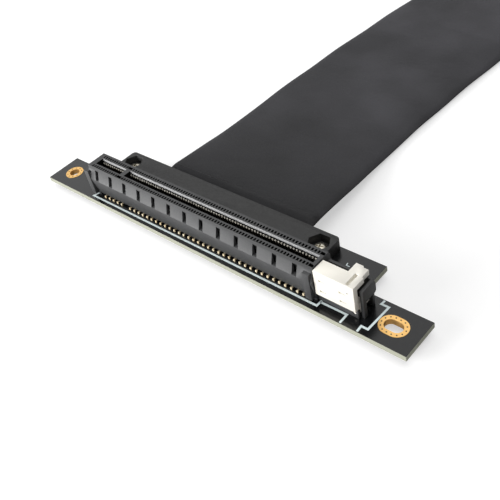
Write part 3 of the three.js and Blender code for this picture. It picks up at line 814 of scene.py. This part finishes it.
def add_pair(bm, x, half_width, near, far, z0, z1):
    """Two blocks, one on either side of the slot's middle line."""
    for side in (-1, 1):
        y0, y1 = sorted((side * near, side * far))
        add_block(bm, x - half_width, x + half_width, y0, y1, z0, z1)


def build_comb():
    """The ribs between the contacts, down both sides of the opening."""
    bm = bmesh.new()
    for x in [0] + PIN_PLACES:
        if x != LAST_BEFORE_KEY:
            add_pair(bm, x + 0.5, half_width=0.2, near=0.93, far=1.64, z0=3.0, z1=10.32)
    return finish_piece(from_bmesh("contact_comb", bm), housing_plastic_painted_shade)


def build_contact_tips():
    """The rounded tips of the springs, just below the edge of the opening, pale as a painted
    glint.
    """
    bm = bmesh.new()
    for x in PIN_PLACES:
        add_pair(bm, x, half_width=0.22, near=0.74, far=1.0, z0=9.8, z1=10.26)
    return finish_piece(from_bmesh("contact_tips", bm), tip_painted_glint)


def build_lead_in():
    """The smooth slanted faces that lead a card into the opening, on both sides."""
    section = ((1.06, 10.76), (1.37, 11.25), (1.43, 11.21), (1.12, 10.72))
    bm = bmesh.new()
    for x0, x1 in ((0.05, 11.6), (13.4, 84.95)):
        for side in (-1, 1):
            left, right = (
                [bm.verts.new(place(x, side * y, z)) for y, z in section]
                for x in (x0, x1)
            )
            join_rings(bm, left, right)
            bm.faces.new(left[::-1])
            bm.faces.new(right)
    return finish_piece(from_bmesh("lead_in_faces", bm), chamfer_plastic)


def build_tail_knuckles():
    """The bends where the outer tails turn down through the board, pale gold as a painted glint.
    """
    bm = bmesh.new()
    for x in PIN_PLACES:
        if x % 2 == 0:
            add_pair(bm, x, half_width=0.27, near=3.36, far=3.68, z0=0.02, z1=0.62)
    return finish_piece(from_bmesh("tail_knuckles", bm), knuckle_gold_painted_glint)


def build_solder():
    """A small cone of solder round each tail, under the board."""
    outer_tail, inner_tail = 3.53, 1.41
    sides = 10
    bm = bmesh.new()
    for x in PIN_PLACES:
        for side in (-1, 1):
            y = side * (outer_tail if x % 2 == 0 else inner_tail)
            rings = []
            for radius, height in ((0.42, BOARD_UNDER), (0.4, -1.66), (0.26, -2.1), (0.2, -2.6)):
                rings.append([
                    bm.verts.new(place(
                        x + radius * math.cos(2 * math.pi * i / sides),
                        y + radius * math.sin(2 * math.pi * i / sides), height))
                    for i in range(sides)
                ])
            bm.faces.new(rings[0])
            bm.faces.new(rings[-1][::-1])
            for one, two in zip(rings, rings[1:]):
                join_rings(bm, one, two)
    obj = from_bmesh("tail_solder", bm)
    smooth_by_angle(obj, 50)
    return finish_piece(obj, solder)


def build_latch_marks():
    """Small moulded dents on the latch's front face, dark as painted shade with a thin painted
    shadow to +X of each, and a dark block on its head as painted shade where its groove ends.
    """
    front, sunk = -3.52, -3.4
    bm = bmesh.new()
    for x, z in ((88.2, 8.3), (88.2, 4.8), (94.1, 7.65), (94.1, 4.7)):
        corners = [(x - 0.4, z - 0.32), (x + 0.5, z), (x - 0.4, z + 0.34)]
        outer, inner = (
            [bm.verts.new(place(px, y, pz)) for px, pz in corners] for y in (front, sunk))
        bm.faces.new(outer)
        bm.faces.new(inner[::-1])
        join_rings(bm, outer, inner)
        # The thin line to +X of each mark is a painted shadow.
        add_block(bm, x + 0.3, x + 1.5, front + 0.008, sunk, z - 0.05, z + 0.05)
    finish_piece(from_bmesh("latch_marks", bm), mark_painted_shade, LATCH)
    # A dark block painted as shade where the latch's groove ends on its front face.
    painted_shade_block = bmesh.new()
    add_block(painted_shade_block, 95.95, 96.4, front, sunk, 8.4, 8.62)
    finish_piece(from_bmesh("latch_painted_shade_block", painted_shade_block), hole_dark, LATCH)


build_board_print()
build_vias("round_hole_vias", -19.1, 2.35, 2.35, 10)
build_vias("long_hole_vias", 106.25, 3.25, 2.4, 14, 0.3)
build_comb()
build_contact_tips()
build_lead_in()
build_tail_knuckles()
build_solder()
build_latch_marks()


# ---------------------------------------------------------------- the plug's gold fingers

EDGE_LEFT = PLUG_PLACE.x - 42.5
EDGE_TIP = PLUG_PLACE.y + 26.6
EDGE_BEVEL = 1.35
TRACK_START = PLUG_PLACE.y + 15.5
FINGER_LENGTH, SHORT_FINGER_LENGTH = 4.6, 3.6
FINGER_HALF, TRACK_HALF = 0.35, 0.1


def build_fingers(name, z0, z1):
    """A row of gold fingers, one in nine of them shorter, each with its narrow track."""
    bm = bmesh.new()
    tip = EDGE_TIP - EDGE_BEVEL
    for index, x in enumerate(PIN_PLACES):
        start = tip - (SHORT_FINGER_LENGTH if index % 9 == 4 else FINGER_LENGTH)
        middle = EDGE_LEFT + x
        add_block(bm, middle - FINGER_HALF, middle + FINGER_HALF, start, tip, z0, z1)
        add_block(
            bm, middle - TRACK_HALF, middle + TRACK_HALF, TRACK_START, start, z0, z1 - 0.01)
    return finish_piece(from_bmesh(name, bm), gold)


fingers = [
    build_fingers("plug_fingers_top", 0.0, 0.03),
    build_fingers("plug_fingers_under", -1.63, -1.6),
]


# ---------------------------------------------------------------- floor and light

FLOOR_REACH = 1.6
FLOOR_HEIGHT = -0.0002
FLOOR_GREY = 0.56
FLOOR_GLOW = 0.52
WORLD_LIGHT = 0.24


def build_floor():
    """A grey floor that the camera alone sees a little brighter than its light makes it."""
    bm = bmesh.new()
    corners = [(-1, -1), (1, -1), (1, 1), (-1, 1)]
    bm.faces.new([
        bm.verts.new((x * FLOOR_REACH, y * FLOOR_REACH, FLOOR_HEIGHT)) for x, y in corners
    ])
    floor = from_bmesh("floor", bm)
    material = bpy.data.materials.new("floor")
    material.use_nodes = True
    nodes, links = material.node_tree.nodes, material.node_tree.links
    shader = nodes["Principled BSDF"]
    shader.inputs["Base Color"].default_value = (FLOOR_GREY, FLOOR_GREY, FLOOR_GREY, 1)
    shader.inputs["Roughness"].default_value = 0.9
    glow = nodes.new("ShaderNodeEmission")
    glow.inputs["Color"].default_value = (1, 1, 1, 1)
    seen = nodes.new("ShaderNodeLightPath")
    strength = nodes.new("ShaderNodeMath")
    strength.operation = "MULTIPLY"
    strength.inputs[1].default_value = FLOOR_GLOW
    links.new(seen.outputs["Is Camera Ray"], strength.inputs[0])
    links.new(strength.outputs[0], glow.inputs["Strength"])
    both = nodes.new("ShaderNodeAddShader")
    links.new(shader.outputs[0], both.inputs[0])
    links.new(glow.outputs[0], both.inputs[1])
    links.new(both.outputs[0], nodes["Material Output"].inputs["Surface"])
    floor.data.materials.append(material)


def add_area(name, target, direction, distance, size, energy):
    """A rectangular lamp that shines on the target from a direction and distance, in metres."""
    data = bpy.data.lights.new(name, "AREA")
    data.shape = "RECTANGLE"
    data.size, data.size_y = size
    data.energy = energy
    obj = bpy.data.objects.new(name, data)
    bpy.context.scene.collection.objects.link(obj)
    way = Vector(direction).normalized()
    obj.location = Vector(target) + way * distance
    obj.rotation_euler = way.to_track_quat("Z", "Y").to_euler()


def build_world():
    """White where the camera sees it, and dimmer as light."""
    world = bpy.data.worlds.new("studio")
    bpy.context.scene.world = world
    world.use_nodes = True
    nodes, links = world.node_tree.nodes, world.node_tree.links
    background = nodes["Background"]
    path = nodes.new("ShaderNodeLightPath")
    level = nodes.new("ShaderNodeMapRange")
    level.inputs["To Min"].default_value = WORLD_LIGHT
    links.new(path.outputs["Is Camera Ray"], level.inputs["Value"])
    background.inputs["Color"].default_value = (1, 1, 1, 1)
    links.new(level.outputs["Result"], background.inputs["Strength"])


build_floor()
build_world()
add_area(
    "key", target=(0, 0, 0.01), direction=(-0.6, -0.75, 0.26), distance=1.1,
    size=(0.9, 0.55), energy=21)
add_area(
    "sky", target=(0, 0, 0), direction=(-0.58, 0.47, 0.66), distance=1.2,
    size=(1.1, 0.9), energy=3.0)
add_area(
    "top", target=(0, 0.1, 0), direction=(0.1, 0.0, 1), distance=1.2,
    size=(1.0, 1.0), energy=5.6)
bpy.context.scene.view_settings.view_transform = "Standard"

bpy.context.view_layer.update()
